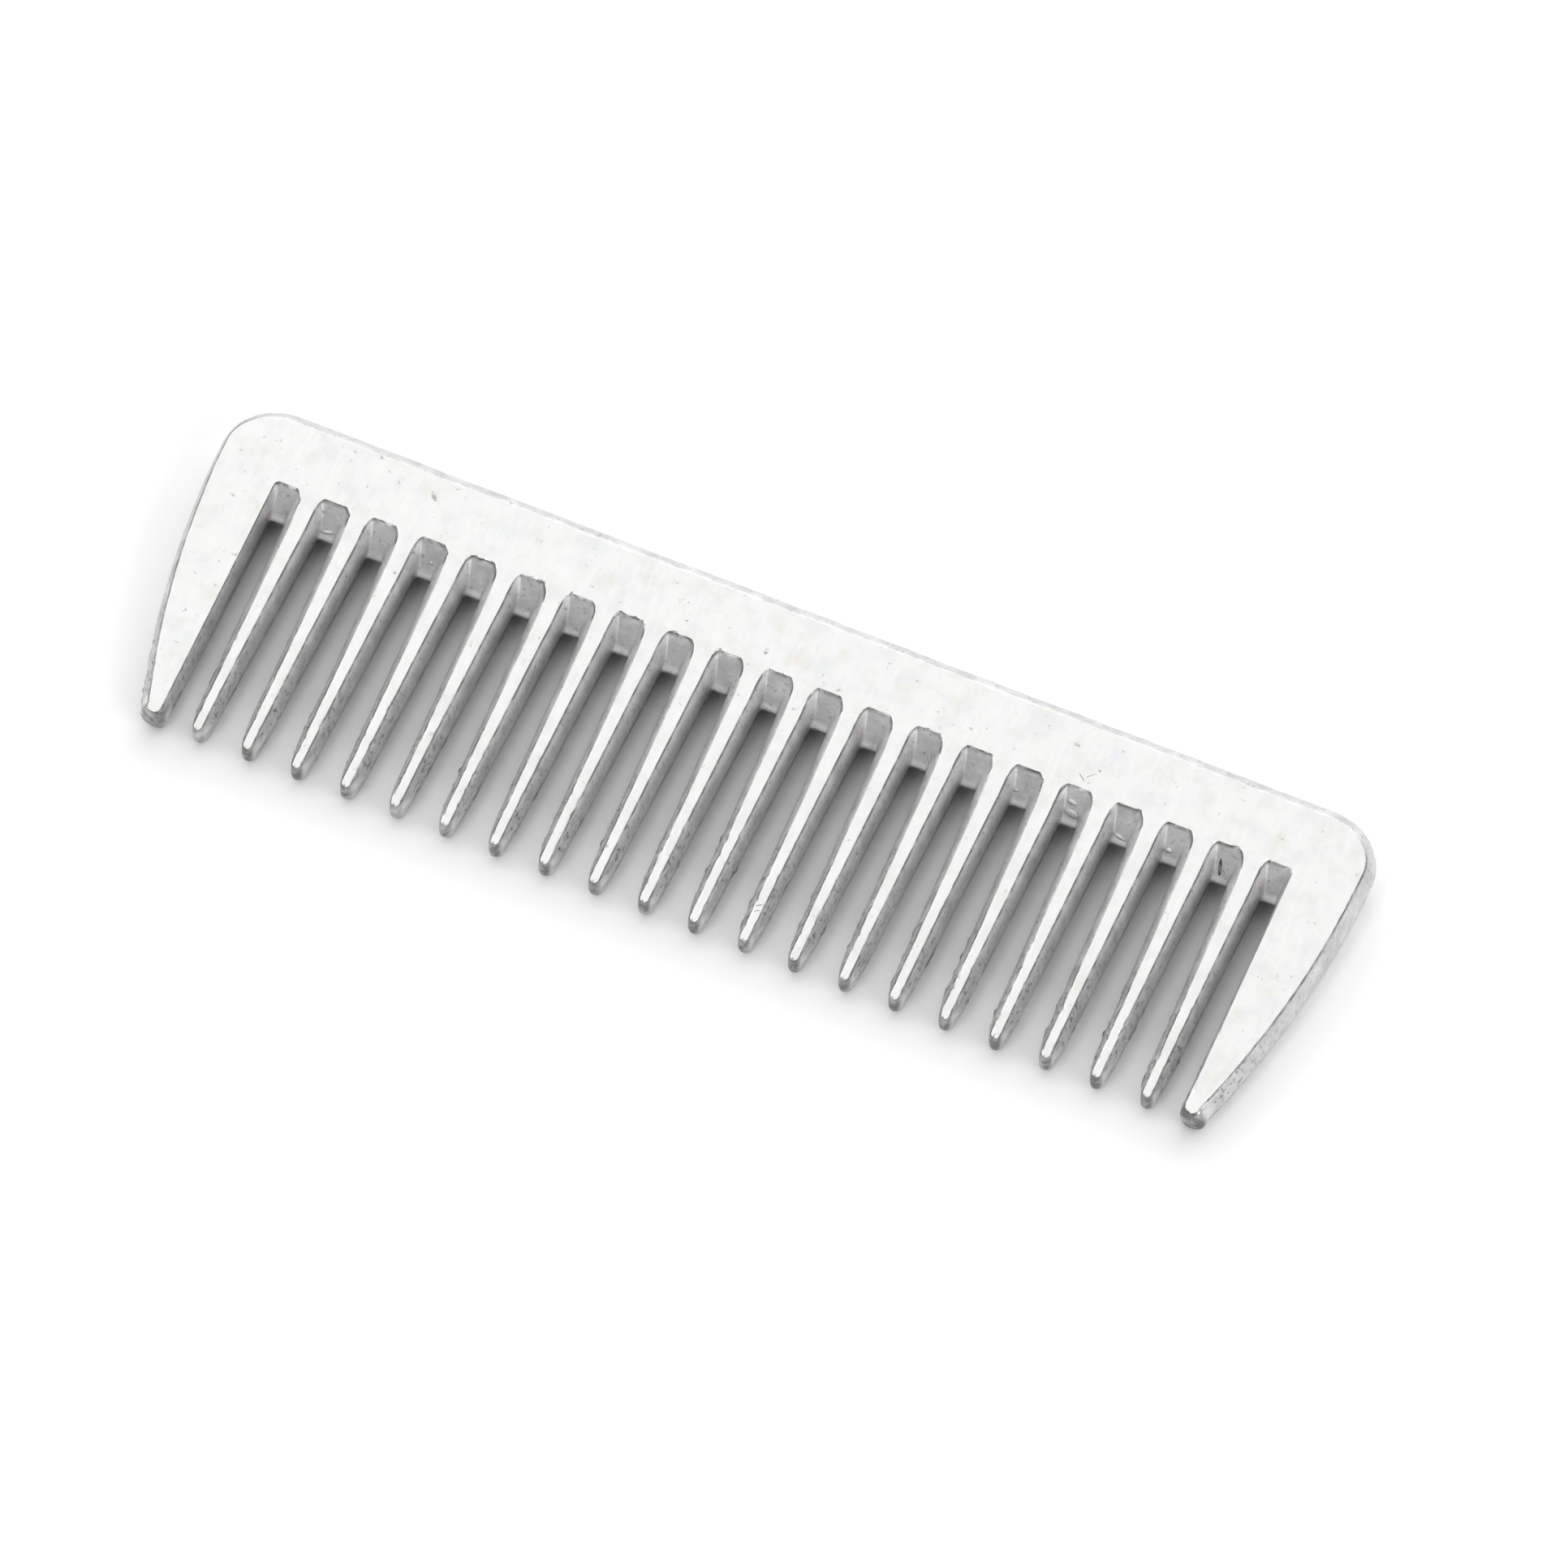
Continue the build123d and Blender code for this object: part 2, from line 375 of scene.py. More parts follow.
class Casting:  # vertices, faces and the paths along which the surface may be roughened
    def __init__(self):
        self.points = []
        self.paths = {"finPath": [], "wavePath": [], "nickPath": []}
        self.masks = {"burnish": [], "grimeAndPaintedShade": [], "wear": []}
        self.faces = []
        self.ground = []

    def add(self, point, level=None, side=0, outward=None, grimeAndPaintedShade=0.0):
        self.points.append(point * mm)
        flat = Vector((outward.x, outward.y, 0)) if outward else Vector((0, 0, 0))
        down = slotEndY - point.y
        onWall = level is not None and level < edge
        worn = smooth(*wear["worn"], down)
        fin = finShare.get(level, 0.0) * blend(wear["freshFin"], 1, worn)
        fin = fin * (1 - wear["tipFinLoss"] * smooth(*wear["tipFin"], down))
        wave = 0.0 if level is None else max(0.0, min(1.0, level / 2, (edge + 1 - level) / 2))
        slotEnd = smooth(*wear["slotEndFrom"], down) * (1 - smooth(*wear["slotEndTo"], down))
        nick = max(wear["slotEndNick"] * slotEnd, blend(wear["freshNick"], wear["wornNick"], worn))
        nick = nick * nickShare.get(level, 0.0)
        self.paths["finPath"].append(flat * fin)
        self.paths["wavePath"].append(flat * wave)
        self.paths["nickPath"].append((Vector((0, 0, -wear["nickDrop"] * side)) - flat) * nick)
        shine = smooth(toothLength - wear["shineStart"], toothLength - wear["shineFull"], down)
        shine = shine * wear["tipShine"]
        self.masks["burnish"].append(min(1.0, max(fin, wear["nickShine"] * nick, shine)))
        self.masks["wear"].append(worn if onWall else 0.0)
        # Painted shade: the noses' walls are darkened as a stand-in for their dark reflection
        capped = wear["paintedNoseShade"] * smooth(*wear["nose"], down) if onWall else 0.0
        # Painted shade: the hidden lower walls between the teeth are darkened so that less light bounces
        # onto the slot floors
        sheltered = 0.0
        between = abs(point.x) < guardFaceX + 0.1  # the guards' inner walls and all inside them
        if onWall and side < 0 and down > wear["shelterFrom"] and between:
            sheltered = blend(wear["rootShade"], wear["tipShade"], smooth(*wear["shelter"], down))
        # One mask carries painted shade (edge lines, nose caps, lower walls between the teeth) and the real
        # darkness of scratches and gouges
        self.masks["grimeAndPaintedShade"].append(max(grimeAndPaintedShade * paintedLineShare.get(level, 0.0), capped, sheltered))
        return len(self.points) - 1

    def face(self, corners, ground):
        self.faces.append(corners)
        self.ground.append(ground)

    def lump(self, placing, grimeAndPaintedShade):  # a small closed lump, half sunk into the surface
        ball = bmesh.new()
        bmesh.ops.create_icosphere(ball, subdivisions=2, radius=0.5, matrix=placing)
        first = len(self.points)
        for vertex in ball.verts:
            self.add(vertex.co.copy())
            self.masks["grimeAndPaintedShade"][-1] = grimeAndPaintedShade
        for face in ball.faces:
            self.face([first + vertex.index for vertex in face.verts], False)
        ball.free()

    def wall(self, places):
        rings = []
        for level, side in ringOrder:
            ring = []
            for place in places:
                point, outward = wallPoint(place, level, side)
                ring.append(self.add(point, level, side, outward, place["grimeAndPaintedShade"]))
            rings.append(ring)
        for r in range(len(rings) - 1):
            ground = r == 0 or r == len(rings) - 2
            below, above = rings[r], rings[r + 1]
            for i in range(len(places) - 1):
                self.face([below[i], below[i + 1], above[i + 1], above[i]], ground)
        return rings

    def mesh(self, name):
        mesh = bpy.data.meshes.new(name)
        mesh.from_pydata(self.points, [], self.faces)
        for key, path in self.paths.items():
            layer = mesh.attributes.new(key, "FLOAT_VECTOR", "POINT")
            layer.data.foreach_set("vector", [n for vector in path for n in vector])
        for key, mask in self.masks.items():
            mesh.attributes.new(key, "FLOAT", "POINT").data.foreach_set("value", mask)
        mesh.attributes.new("ground", "BOOLEAN", "FACE").data.foreach_set("value", self.ground)
        mesh.polygons.foreach_set("use_smooth", [not ground for ground in self.ground])
        mesh.update()
        return mesh


spineRows = 8      # rows of faces across the spine's ground face
stripColumns = 3   # columns of faces across a tooth's ground strip


def spineRow(row, x, side):
    low = slotEndY + edgeLevels[-1][0]
    high = faceBackY - edgeLevels[-1][0]
    y = blend(low, high, row / spineRows)
    return Vector((x, y, thickness(y) if side > 0 else 0))


def makeToothModule():
    casting = Casting()
    places = toothStations()
    rings = casting.wall(places)
    count = len(places)
    flat = steps["flat"]
    middle = (count - 1) // 2
    for side, ring in ((-1, rings[0]), (1, rings[-1])):
        # The ground strip down the tooth, a ladder of rungs between its two edges
        rungs = []
        for i in range(flat, middle):
            a, b = ring[i], ring[count - 1 - i]
            low, high = casting.points[a] / mm, casting.points[b] / mm
            inner = [casting.add(low.lerp(high, n / stripColumns)) for n in range(1, stripColumns)]
            rungs.append([a] + inner + [b])
        for upper, lower in zip(rungs, rungs[1:]):
            for n in range(stripColumns):
                casting.face([upper[n], upper[n + 1], lower[n + 1], lower[n]], True)
        casting.face(rungs[-1] + [ring[middle]], True)
        # The strip of the spine above it
        rows = [ring[:flat] + rungs[0] + ring[count - flat:]]
        for row in range(1, spineRows + 1):
            xs = [casting.points[v].x / mm for v in rows[0]]
            rows.append([casting.add(spineRow(row, x, side)) for x in xs])
        for a, b in zip(rows, rows[1:]):
            for n in range(len(a) - 1):
                casting.face([a[n], a[n + 1], b[n + 1], b[n]], True)
    # And its stretch of the back
    backY, faceY = comb["spineDepth"], comb["spineDepth"] - comb["backRound"]
    casting.wall([station((x, backY), (x, faceY), comb["backPower"], paintedEdgeLines["back"])
                  for x in reversed(xs)])
    return casting.mesh("toothModule")


def makeEndModule(side):
    casting = Casting()
    rings = casting.wall(guardStations(side))
    for face, ring in ((-1, rings[0]), (1, rings[-1])):
        seam = [casting.add(spineRow(row, lastSlotX, face)) for row in range(spineRows - 1, 0, -1)]
        casting.face(ring + seam, True)  # the whole ground face of the guard
    mesh = casting.mesh("endModule")
    if side < 0:  # the left end is the right one, mirrored
        for vertex in mesh.vertices:
            vertex.co.x = -vertex.co.x
        for key in casting.paths:
            for item in mesh.attributes[key].data:
                item.vector.x = -item.vector.x
        mesh.flip_normals()
    return mesh


# Blemishes: the slot they are in or under, mm to its right, mm below the slot ends, length along the
# comb, width and height, turn in degrees, and how dark they are
blemishes = {
    "largeBlister": (16, -0.07, 1.62, (1.45, 0.80, 0.50), -12, 0.0),
    "smallBlister": (16, -0.27, 0.98, (0.85, 0.50, 0.40), -8, 0.0),
    "firstBubble": (15, -0.60, 1.50, (0.50, 0.40, 0.40), 0, 0.0),
    "footLedge": (17, -0.05, 1.90, (1.25, 0.40, 0.62), -14, 0.0),
    "lastBubble": (18, -0.33, 1.62, (0.72, 0.46, 0.46), 0, 0.0),
    "coldShut": (19, -0.30, 1.45, (0.30, 1.50, 0.16), 12, 1.0),
    "leftRidge": (1, -0.10, 1.85, (1.20, 0.34, 0.54), 10, 0.0),
    "leftBubble": (3, 0.25, 1.35, (0.40, 0.34, 0.22), 0, 0.0),
    "longScratch": (16, -0.25, -0.95, (0.95, 0.09, 0.03), -38, 0.7),
    "shortScratch": (16, 0.30, -1.35, (0.75, 0.07, 0.03), 42, 0.5),
    "dent": (16, 0.85, -2.05, (0.26, 0.20, 0.03), 0, 0.6),
    "upperGouge": (12, -2.15, 19.6, (0.62, 0.11, 0.03), 34, 0.9),
    "lowerGouge": (12, -2.10, 20.1, (0.55, 0.10, 0.03), 34, 0.9),
}


def makeBlemishes():
    casting = Casting()
    slotReach = 1.2  # a mark closer than this to the middle of a slot is in it
    for slot, aside, down, size, turn, grimeAndPaintedShade in blemishes.values():
        x = (slot - comb["toothCount"] / 2) * comb["pitch"] + aside
        y = slotEndY - down
        height, tilt = thickness(y), math.atan(wedge)
        if abs(aside) < slotReach and down > 0:  # on the sloping slot end, not on a ground face
            share = (1 - down / comb["ramp"]) ** (1 / comb["rampPower"])
            height, tilt = height / 2 * (1 + share), math.atan2(height / 2, comb["ramp"])
        placing = (Matrix.Translation((x, y, height)) @ Matrix.Rotation(tilt, 4, "X")
                   @ Matrix.Rotation(math.radians(turn), 4, "Z") @ Matrix.Diagonal((*size, 1)))
        casting.lump(placing, grimeAndPaintedShade)
    return casting.mesh("blemishes")


def addNode(tree, kind, values=None, links=None, **settings):
    node = tree.nodes.new(kind)
    for key, value in settings.items():
        setattr(node, key, value)
    for key, value in (values or {}).items():
        node.inputs[key].default_value = value
    for key, source in (links or {}).items():
        tree.links.new(source, node.inputs[key])
    return node


def colour(code):  # sRGB hex to linear RGBA
    parts = [int(code[i:i + 2], 16) / 255 for i in (1, 3, 5)]
    return [p / 12.92 if p <= 0.04045 else ((p + 0.055) / 1.055) ** 2.4 for p in parts] + [1.0]


def newMaterial(name):
    material = bpy.data.materials.new(name)
    material.use_nodes = True
    material.node_tree.nodes.clear()
    return material, material.node_tree


linished = {
    "bright": "#F2F2F1", "warm": "#E9E8E2", "cool": "#E9EBED", "speck": "#AFAFAD",
    "stainSize": 2.2, "speckSize": 0.75, "grainAcross": 0.22, "grainAlong": 2.2,   # mm
    "warmRange": (0.48, 0.72), "coolRange": (0.50, 0.74), "speckRange": (0.66, 0.78),
    "grainTurn": 0.9, "roughness": 0.34, "grainDepth": 0.003,
}


def makeLinished():
    # Aluminium ground flat on a fine belt: satin, almost white, with faint stains and pin pits
    material, tree = newMaterial("linishedAluminium")
    coords = addNode(tree, "ShaderNodeTexCoord").outputs["Object"]

    def noise(size, detail, shift, limits):
        place = addNode(tree, "ShaderNodeMapping", {"Location": (shift * mm, 0, 0)}, {"Vector": coords})
        settings = {"Scale": 1 / (linished[size] * mm), "Detail": detail, "Roughness": 0.6}
        pattern = addNode(tree, "ShaderNodeTexNoise", settings, {"Vector": place.outputs[0]})
        low, high = linished[limits]
        return addNode(tree, "ShaderNodeMapRange", {"From Min": low, "From Max": high},
                       {"Value": pattern.outputs["Fac"]}).outputs["Result"]

    def mix(factor, a, b):
        return addNode(tree, "ShaderNodeMix", {"B": colour(linished[b])}, {"Factor": factor, "A": a},
                       data_type="RGBA").outputs["Result"]

    tones = {"A": colour(linished["bright"]), "B": colour(linished["warm"])}
    plain = addNode(tree, "ShaderNodeMix", tones,
                    {"Factor": noise("stainSize", 6.0, 0, "warmRange")}, data_type="RGBA")
    cooled = mix(noise("stainSize", 6.0, 40, "coolRange"), plain.outputs["Result"], "cool")
    speckled = mix(noise("speckSize", 3.0, 90, "speckRange"), cooled, "speck")
    # The belt's grain, fine across and long along its turn
    size = (1 / (linished["grainAcross"] * mm), 1 / (linished["grainAlong"] * mm), 1 / mm)
    stretch = addNode(tree, "ShaderNodeMapping", {"Rotation": (0, 0, linished["grainTurn"]), "Scale": size},
                      {"Vector": coords})
    grain = addNode(tree, "ShaderNodeTexNoise", {"Scale": 1.0, "Detail": 2.0},
                    {"Vector": stretch.outputs["Vector"]})
    limits = {"To Min": linished["roughness"] - 0.08, "To Max": linished["roughness"] + 0.10}
    rough = addNode(tree, "ShaderNodeMapRange", limits, {"Value": grain.outputs["Fac"]})
    bump = addNode(tree, "ShaderNodeBump", {"Strength": 1.0, "Distance": linished["grainDepth"] * mm},
                   {"Height": grain.outputs["Fac"]})
    shader = addNode(tree, "ShaderNodeBsdfPrincipled", {"Metallic": 1.0},
                     {"Base Color": speckled, "Roughness": rough.outputs["Result"],
                      "Normal": bump.outputs["Normal"]})
    addNode(tree, "ShaderNodeOutputMaterial", {}, {"Surface": shader.outputs["BSDF"]})
    return material


asCast = {
    "light": "#E4E3E3", "dark": "#CAC9C9", "rubbed": "#EAEAE9", "pit": "#9A9997", "grimeAndPaintedShade": "#5C5B5A",
    "spot": "#85848A",
    "mottleSize": 1.6, "grainSize": 0.22, "pitSize": 0.42, "spotSize": 0.5, "darkPatchSize": 1.3,   # mm
    "mottleRange": (0.32, 0.68), "pitRange": (0.60, 0.80), "spotRange": (0.54, 0.68),
    "darkPatchRange": (0.30, 0.55), "leastDark": 0.35,
    "roughness": 0.56, "polished": 0.24, "grainDepth": 0.022, "mottleDepth": 0.05,
}


def makeAsCast():
    # Cast skin left by the mould: matte, mottled grey with pin pits. Handling has rubbed the fins and
    # tips shiny. One dark colour gives painted shade (dark lines along the edges and caps on the noses,
    # standing in for reflections, and the lower walls between the teeth) and darkens the real scratches and
    # gouges
    material, tree = newMaterial("castAluminium")
    coords = addNode(tree, "ShaderNodeTexCoord").outputs["Object"]

    def noise(size, detail):
        settings = {"Scale": 1 / (asCast[size] * mm), "Detail": detail, "Roughness": 0.6}
        return addNode(tree, "ShaderNodeTexNoise", settings, {"Vector": coords}).outputs["Fac"]

    def stored(name):
        return addNode(tree, "ShaderNodeAttribute", attribute_name=name).outputs["Fac"]

    def ranged(value, low, high, outLow=0.0, outHigh=1.0):
        limits = {"From Min": low, "From Max": high, "To Min": outLow, "To Max": outHigh}
        return addNode(tree, "ShaderNodeMapRange", limits, {"Value": value}).outputs["Result"]

    def times(a, b):
        return addNode(tree, "ShaderNodeMath", {}, {0: a, 1: b}, operation="MULTIPLY").outputs[0]

    def mix(factor, a, b):
        return addNode(tree, "ShaderNodeMix", {"B": colour(asCast[b])}, {"Factor": factor, "A": a},
                       data_type="RGBA").outputs["Result"]

    mottle, grain = noise("mottleSize", 4.0), noise("grainSize", 3.0)
    burnish = stored("burnish")
    tones = {"A": colour(asCast["dark"]), "B": colour(asCast["light"])}
    skin = addNode(tree, "ShaderNodeMix", tones, {"Factor": ranged(mottle, *asCast["mottleRange"])},
                   data_type="RGBA").outputs["Result"]
    pitted = mix(ranged(noise("pitSize", 2.0), *asCast["pitRange"]), skin, "pit")
    spots = times(ranged(noise("spotSize", 4.0), *asCast["spotRange"]), stored("wear"))
    worn = mix(burnish, mix(spots, pitted, "spot"), "rubbed")
    patches = ranged(noise("darkPatchSize", 4.0), *asCast["darkPatchRange"], asCast["leastDark"], 1.0)
    # Painted shade and real marks: the mask darkens edges, noses and the lower walls as painted shade, and
    # scratches and gouges as real marks
    darkened = mix(times(stored("grimeAndPaintedShade"), patches), worn, "grimeAndPaintedShade")
    low = addNode(tree, "ShaderNodeBump", {"Strength": 0.8, "Distance": asCast["mottleDepth"] * mm},
                  {"Height": mottle})
    high = addNode(tree, "ShaderNodeBump", {"Strength": 0.8, "Distance": asCast["grainDepth"] * mm},
                   {"Height": grain, "Normal": low.outputs["Normal"]})
    rough = ranged(burnish, 0, 1, asCast["roughness"], asCast["polished"])
    shader = addNode(tree, "ShaderNodeBsdfPrincipled", {"Metallic": 1.0},
                     {"Base Color": darkened, "Roughness": rough, "Normal": high.outputs["Normal"]})
    addNode(tree, "ShaderNodeOutputMaterial", {}, {"Surface": shader.outputs["BSDF"]})
    return material


# Geometry Nodes put the teeth in a row, then roughen the casting
roughening = {
    "Fin Height": 0.26 * mm,
    "Fin Grain": 0.7 * mm,
    "Nick Depth": 0.10 * mm,
    "Nick Grain": 0.65 * mm,
    "Waviness": 0.07 * mm,
    "Wave Grain": 5.0 * mm,
    "Seed": 7.0,
}


def makeCombTree(toothModule):
    tree = bpy.data.node_groups.new("combCasting", "GeometryNodeTree")
    face = tree.interface
    face.new_socket("Geometry", in_out="OUTPUT", socket_type="NodeSocketGeometry")
    face.new_socket("Ends", in_out="INPUT", socket_type="NodeSocketGeometry")
    face.new_socket("Tooth", in_out="INPUT", socket_type="NodeSocketObject")
    face.new_socket("Tooth Count", in_out="INPUT", socket_type="NodeSocketInt")
    for name in ("Pitch", "First Tooth", *roughening):
        face.new_socket(name, in_out="INPUT", socket_type="NodeSocketFloat")
    face.new_socket("Ground Finish", in_out="INPUT", socket_type="NodeSocketMaterial")
    face.new_socket("Cast Finish", in_out="INPUT", socket_type="NodeSocketMaterial")
    given = addNode(tree, "NodeGroupInput").outputs

    # The row of teeth, each with its strip of spine, joined to the two ends
    start = addNode(tree, "ShaderNodeCombineXYZ", {}, {"X": given["First Tooth"]})
    step = addNode(tree, "ShaderNodeCombineXYZ", {}, {"X": given["Pitch"]})
    places = {"Count": given["Tooth Count"], "Start Location": start.outputs[0], "Offset": step.outputs[0]}
    line = addNode(tree, "GeometryNodeMeshLine", {}, places, mode="OFFSET")
    tooth = addNode(tree, "GeometryNodeObjectInfo", {}, {"Object": given["Tooth"]})
    row = addNode(tree, "GeometryNodeInstanceOnPoints", {},
                  {"Points": line.outputs[0], "Instance": tooth.outputs["Geometry"]})
    real = addNode(tree, "GeometryNodeRealizeInstances", {}, {"Geometry": row.outputs[0]})
    join = addNode(tree, "GeometryNodeJoinGeometry")
    tree.links.new(real.outputs[0], join.inputs[0])
    tree.links.new(given["Ends"], join.inputs[0])
    whole = addNode(tree, "GeometryNodeMergeByDistance", {"Distance": 0.002 * mm},
                    {"Geometry": join.outputs[0]})

    # Fins of flash, a slow waviness and nicked edges, each along its own stored path
    place = addNode(tree, "GeometryNodeInputPosition").outputs[0]

    def noise(size, detail, shift):
        scale = addNode(tree, "ShaderNodeMath", {0: 1.0}, {1: size}, operation="DIVIDE")
        seed = addNode(tree, "ShaderNodeMath", {1: shift}, {0: given["Seed"]}, operation="ADD")
        links = {"Vector": place, "W": seed.outputs[0], "Scale": scale.outputs[0]}
        return addNode(tree, "ShaderNodeTexNoise", {"Detail": detail}, links,
                       noise_dimensions="4D").outputs["Fac"]

    def moved(path, amount, value, low, high, least=0.0):  # the noise from low to high gives least to 1
        limits = {"From Min": low, "From Max": high, "To Min": least, "To Max": 1.0}
        ranged = addNode(tree, "ShaderNodeMapRange", limits, {"Value": value}, clamp=True)
        sized = addNode(tree, "ShaderNodeMath", {}, {0: ranged.outputs[0], 1: given[amount]},
                        operation="MULTIPLY")
        along = addNode(tree, "GeometryNodeInputNamedAttribute", {"Name": path}, data_type="FLOAT_VECTOR")
        links = {0: along.outputs["Attribute"], "Scale": sized.outputs[0]}
        return addNode(tree, "ShaderNodeVectorMath", {}, links, operation="SCALE").outputs[0]

    fins = moved("finPath", "Fin Height", noise(given["Fin Grain"], 4.0, 0.0), 0.42, 0.72)
    waves = moved("wavePath", "Waviness", noise(given["Wave Grain"], 3.0, 11.0), 0.25, 0.75, -1.0)
    nicks = moved("nickPath", "Nick Depth", noise(given["Nick Grain"], 3.0, 23.0), 0.52, 0.72)
    two = addNode(tree, "ShaderNodeVectorMath", {}, {0: fins, 1: waves}, operation="ADD")
    three = addNode(tree, "ShaderNodeVectorMath", {}, {0: two.outputs[0], 1: nicks}, operation="ADD")
    rough = addNode(tree, "GeometryNodeSetPosition", {},
                    {"Geometry": whole.outputs[0], "Offset": three.outputs[0]})

    # Cast skin all over, then the ground finish on the two broad faces
    ground = addNode(tree, "GeometryNodeInputNamedAttribute", {"Name": "ground"}, data_type="BOOLEAN")
    cast = addNode(tree, "GeometryNodeSetMaterial", {},
                   {"Geometry": rough.outputs[0], "Material": given["Cast Finish"]})
    done = addNode(tree, "GeometryNodeSetMaterial", {},
                   {"Geometry": cast.outputs[0], "Material": given["Ground Finish"],
                    "Selection": ground.outputs["Attribute"]})
    addNode(tree, "NodeGroupOutput", {}, {"Geometry": done.outputs[0]})
    return tree


def makeComb():
    toothModule = bpy.data.objects.new("toothModule", makeToothModule())
    ends = bpy.data.objects.new("combEnds", makeEndModule(1))
    left = bpy.data.objects.new("leftEnd", makeEndModule(-1))
    marks = bpy.data.objects.new("blemishes", makeBlemishes())
    for obj in (toothModule, ends, left, marks):
        bpy.context.collection.objects.link(obj)
    with bpy.context.temp_override(active_object=ends, selected_editable_objects=[ends, left, marks]):
        bpy.ops.object.join()
    tree = makeCombTree(toothModule)
    modifier = ends.modifiers.new("combCasting", "NODES")
    modifier.node_group = tree
    chosen = {
        "Tooth": toothModule, "Tooth Count": comb["toothCount"], "Pitch": comb["pitch"] * mm,
        "First Tooth": comb["firstTooth"] * mm, "Ground Finish": makeLinished(),
        "Cast Finish": makeAsCast(), **roughening,
    }
    sockets = {item.name: item.identifier for item in tree.interface.items_tree
               if item.in_out == "INPUT"}
    for name, value in chosen.items():
        modifier[sockets[name]] = value
    evaluated = ends.evaluated_get(bpy.context.evaluated_depsgraph_get())
    mesh = bpy.data.meshes.new_from_object(evaluated)
    mesh.name = "combCasting"
    shape = bmesh.new()  # the doubles are merged by now, so every face can be turned outwards
    shape.from_mesh(mesh)
    bmesh.ops.recalc_face_normals(shape, faces=shape.faces)
    shape.to_mesh(mesh)
    shape.free()
    piece = bpy.data.objects.new("comb_casting", mesh)
    bpy.context.collection.objects.link(piece)
    for helper in (ends, toothModule):
        bpy.data.objects.remove(helper, do_unlink=True)
    return piece


# Where the comb is seen from: degrees round to the right and above the table, mm from the point
# aimed at, that point from the middle of the slot ends, and the mm the frame spans there
view = {
    "azimuth": 23.65, "elevation": 61.33, "distance": 1150.0, "aimX": 4.31, "aimY": -9.23,
    "frameSpan": 126.70514,
}


def makeCamera():
    around, above = math.radians(view["azimuth"]), math.radians(view["elevation"])
    level = math.cos(above)
    away = Vector((math.sin(around) * level, -math.cos(around) * level, math.sin(above)))
    aim = Vector((view["aimX"], slotEndY + view["aimY"], comb["rootThickness"]))
    camera = bpy.data.cameras.new("camera")
    camera.sensor_width = 36.0
    camera.lens = view["distance"] / view["frameSpan"] * camera.sensor_width
    camera.clip_start = 0.05
    camera.clip_end = 20.0
    holder = bpy.data.objects.new("camera", camera)
    bpy.context.collection.objects.link(holder)
    holder.location = (aim + away * view["distance"]) * mm
    holder.rotation_euler = (-away).to_track_quat("-Z", "Y").to_euler()
    bpy.context.scene.camera = holder


stage = {
    "floor": "#FCFCFC",
    "floorReach": 3.0,        # metres each way
    "floorDrop": 0.00004,     # metres below the comb
    "shade": "#E8E8E8",       # the floor under the teeth, out of the studio's light
    # Where that shade is full and where it has gone, mm: left, right, back and front
    "shadeRims": (("X", 45.3, 47.5), ("X", -45.3, -47.5), ("Y", 8.5, 12.0), ("Y", -6.5, -13.0)),
    "fillStrength": 0.17,
    # Broad soft lights in the sky: direction, cosine at the rim and at the full middle, strength
    "overhead": ((-0.24, 0.38, 0.90), 0.50, 0.93, 0.77),
    "front": ((-0.15, -0.85, 0.50), 0.35, 0.95, 0.17),
    # Softboxes: place in metres, width and height, watts
    "softboxes": {
        "back": ((0.0, 1.15, 0.66), (3.0, 0.9), 15.0),
        "left": ((-1.08, 0.08, 0.76), (1.3, 0.9), 3.1),
        "right": ((1.08, -0.26, 0.74), (1.0, 0.8), 6.6),
        "tips": ((-0.24, -0.68, 1.04), (0.25, 0.20), 1.4),
    },
}


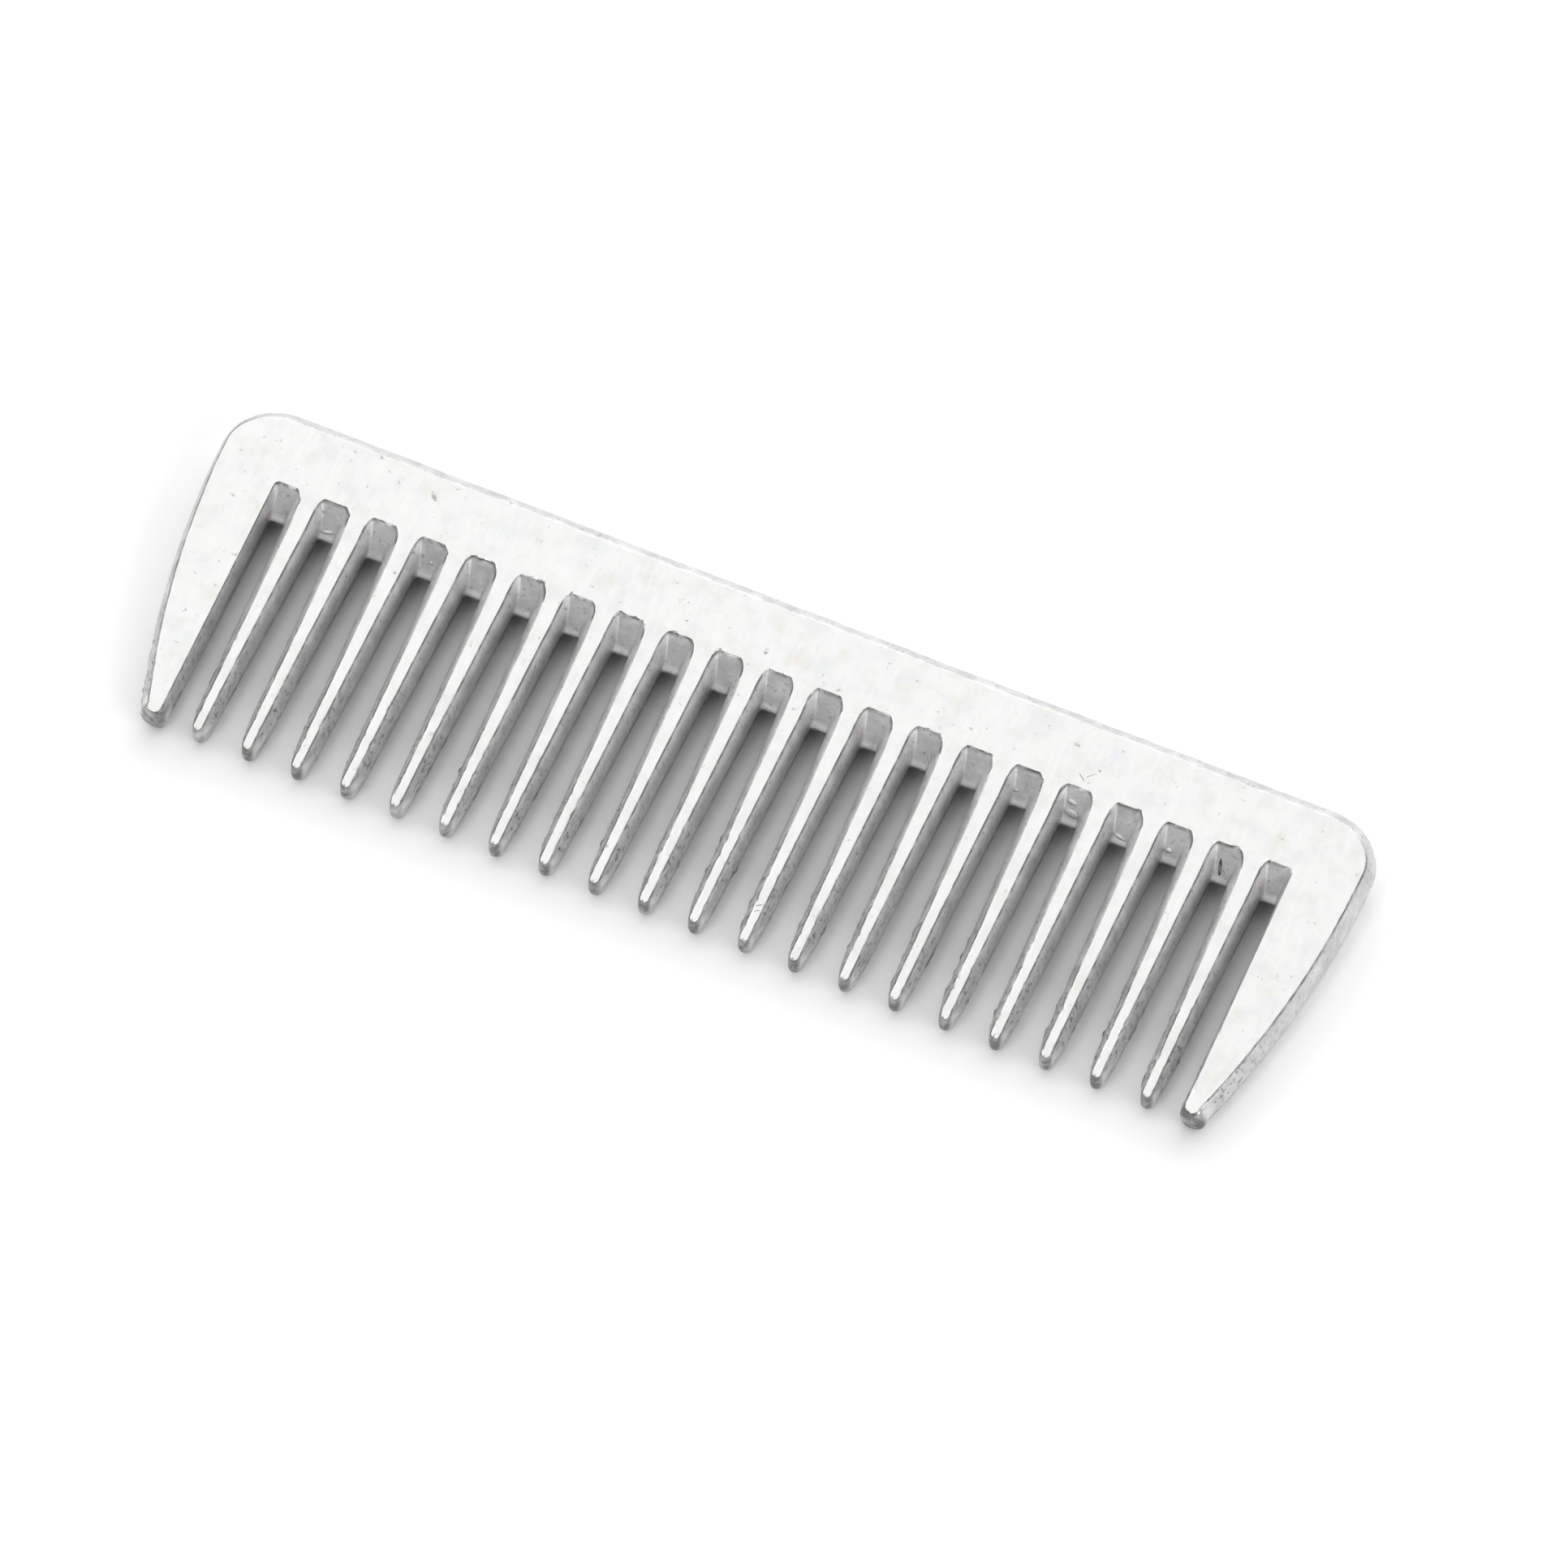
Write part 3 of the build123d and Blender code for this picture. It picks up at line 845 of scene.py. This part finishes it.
def makeStage():
    mesh = bpy.data.meshes.new("floor")
    reach, level = stage["floorReach"], -stage["floorDrop"]
    corners = [(x * reach, y * reach, level) for x, y in ((-1, -1), (1, -1), (1, 1), (-1, 1))]
    mesh.from_pydata(corners, [], [(0, 1, 2, 3)])
    floor = bpy.data.objects.new("floor", mesh)
    bpy.context.collection.objects.link(floor)
    material, tree = newMaterial("paleFloor")
    coords = addNode(tree, "ShaderNodeTexCoord").outputs["Object"]
    spot = addNode(tree, "ShaderNodeSeparateXYZ", {}, {0: coords})
    shade = None
    for axis, full, none in stage["shadeRims"]:
        limits = {"From Min": none * mm, "From Max": full * mm}
        part = addNode(tree, "ShaderNodeMapRange", limits, {"Value": spot.outputs[axis]},
                       interpolation_type="SMOOTHSTEP").outputs["Result"]
        if shade:
            part = addNode(tree, "ShaderNodeMath", {}, {0: shade, 1: part}, operation="MULTIPLY").outputs[0]
        shade = part
    tones = {"A": colour(stage["floor"]), "B": colour(stage["shade"])}
    tone = addNode(tree, "ShaderNodeMix", tones, {"Factor": shade}, data_type="RGBA")
    shader = addNode(tree, "ShaderNodeBsdfPrincipled", {"Roughness": 0.9},
                     {"Base Color": tone.outputs["Result"]})
    addNode(tree, "ShaderNodeOutputMaterial", {}, {"Surface": shader.outputs["BSDF"]})
    mesh.materials.append(material)

    # A grey studio with two broad soft lights, so every side of the casting reflects its own tone
    world = bpy.data.worlds.new("studio")
    world.use_nodes = True
    tree = world.node_tree
    tree.nodes.clear()
    toSky = addNode(tree, "ShaderNodeTexCoord").outputs["Generated"]
    strength = None
    for name in ("overhead", "front"):
        direction, rim, middle, power = stage[name]
        facing = addNode(tree, "ShaderNodeVectorMath", {1: Vector(direction).normalized()}, {0: toSky},
                         operation="DOT_PRODUCT")
        glow = addNode(tree, "ShaderNodeMapRange", {"From Min": rim, "From Max": middle, "To Max": power},
                       {"Value": facing.outputs["Value"]}, interpolation_type="SMOOTHSTEP")
        links = {0: glow.outputs["Result"]}
        if strength:
            links[1] = strength
        total = addNode(tree, "ShaderNodeMath", {1: stage["fillStrength"]}, links, operation="ADD")
        strength = total.outputs[0]
    sky = addNode(tree, "ShaderNodeBackground", {"Color": (1, 1, 1, 1)}, {"Strength": strength})
    addNode(tree, "ShaderNodeOutputWorld", {}, {"Surface": sky.outputs["Background"]})
    bpy.context.scene.world = world

    for name, (place, size, power) in stage["softboxes"].items():
        lamp = bpy.data.lights.new(name + "Softbox", "AREA")
        lamp.shape = "RECTANGLE"
        lamp.size, lamp.size_y = size
        lamp.energy = power
        holder = bpy.data.objects.new(name + "Softbox", lamp)
        holder.location = place
        holder.rotation_euler = (-Vector(place)).to_track_quat("-Z", "Y").to_euler()
        bpy.context.collection.objects.link(holder)
    bpy.context.scene.view_settings.view_transform = "Standard"


makeCamera()
print("camera ready")
piece = makeComb()
triangles = sum(len(face.vertices) - 2 for face in piece.data.polygons)
print("comb casting:", len(piece.data.vertices), "vertices,", triangles, "triangles")
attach(piece, "root")
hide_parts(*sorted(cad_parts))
makeStage()
print("stage ready")
